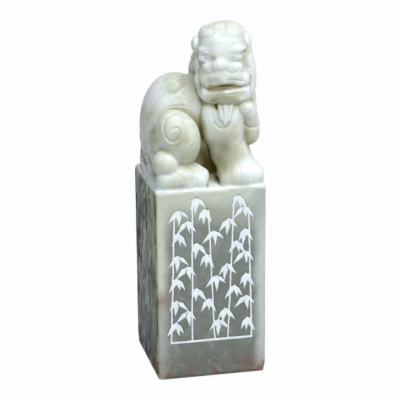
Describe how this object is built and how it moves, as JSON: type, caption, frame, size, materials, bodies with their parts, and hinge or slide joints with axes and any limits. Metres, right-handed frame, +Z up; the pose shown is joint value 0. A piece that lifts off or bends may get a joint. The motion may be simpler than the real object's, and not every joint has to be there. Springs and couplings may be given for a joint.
{
  "type": "carved seal stamp",
  "caption": "Square stone seal with a flat relief-cut printing face, an engraved front filled with white, and a guardian lion carved on top as the grip.",
  "frame": {"origin": "middle of the printing face, at its lowest plane", "axes": "+Z up through the lion; -Y out of the engraved front; +X to the right of someone who looks at that front"},
  "size_m": [0.03, 0.03, 0.0952],
  "materials": {
    "pale_stone": "polished, translucent, pale cream green",
    "grey_stone": "satin, grey olive green with mottling",
    "amber_stone": "satin, amber brown",
    "white_filling": "matte, chalky white pigment in the cuts"
  },
  "bodies": {
    "root": {"printing_face": "grey_stone", "column": "grey_stone", "white_filling": "white_filling", "left_eye": "pale_stone", "right_eye": "pale_stone", "brow": "pale_stone", "nose": "pale_stone", "upper_lip": "pale_stone", "tongue": "amber_stone", "lower_jaw": "pale_stone", "beard": "pale_stone", "left_crown_curl": "pale_stone", "right_crown_curl": "pale_stone", "left_ear": "pale_stone", "right_ear": "pale_stone", "left_cheek_mane": "pale_stone", "right_cheek_mane": "pale_stone", "head": "pale_stone", "standing_forepaw": "pale_stone", "standing_foreleg": "pale_stone", "raised_forepaw": "pale_stone", "raised_forearm": "pale_stone", "raised_upper_arm": "pale_stone", "near_hind_foot": "pale_stone", "near_hock": "pale_stone", "near_thigh": "pale_stone", "far_hind_foot": "pale_stone", "far_thigh": "pale_stone", "tail": "pale_stone", "nape_mane": "pale_stone", "neck": "pale_stone", "trunk": "pale_stone"}
  },
  "joints": []
}
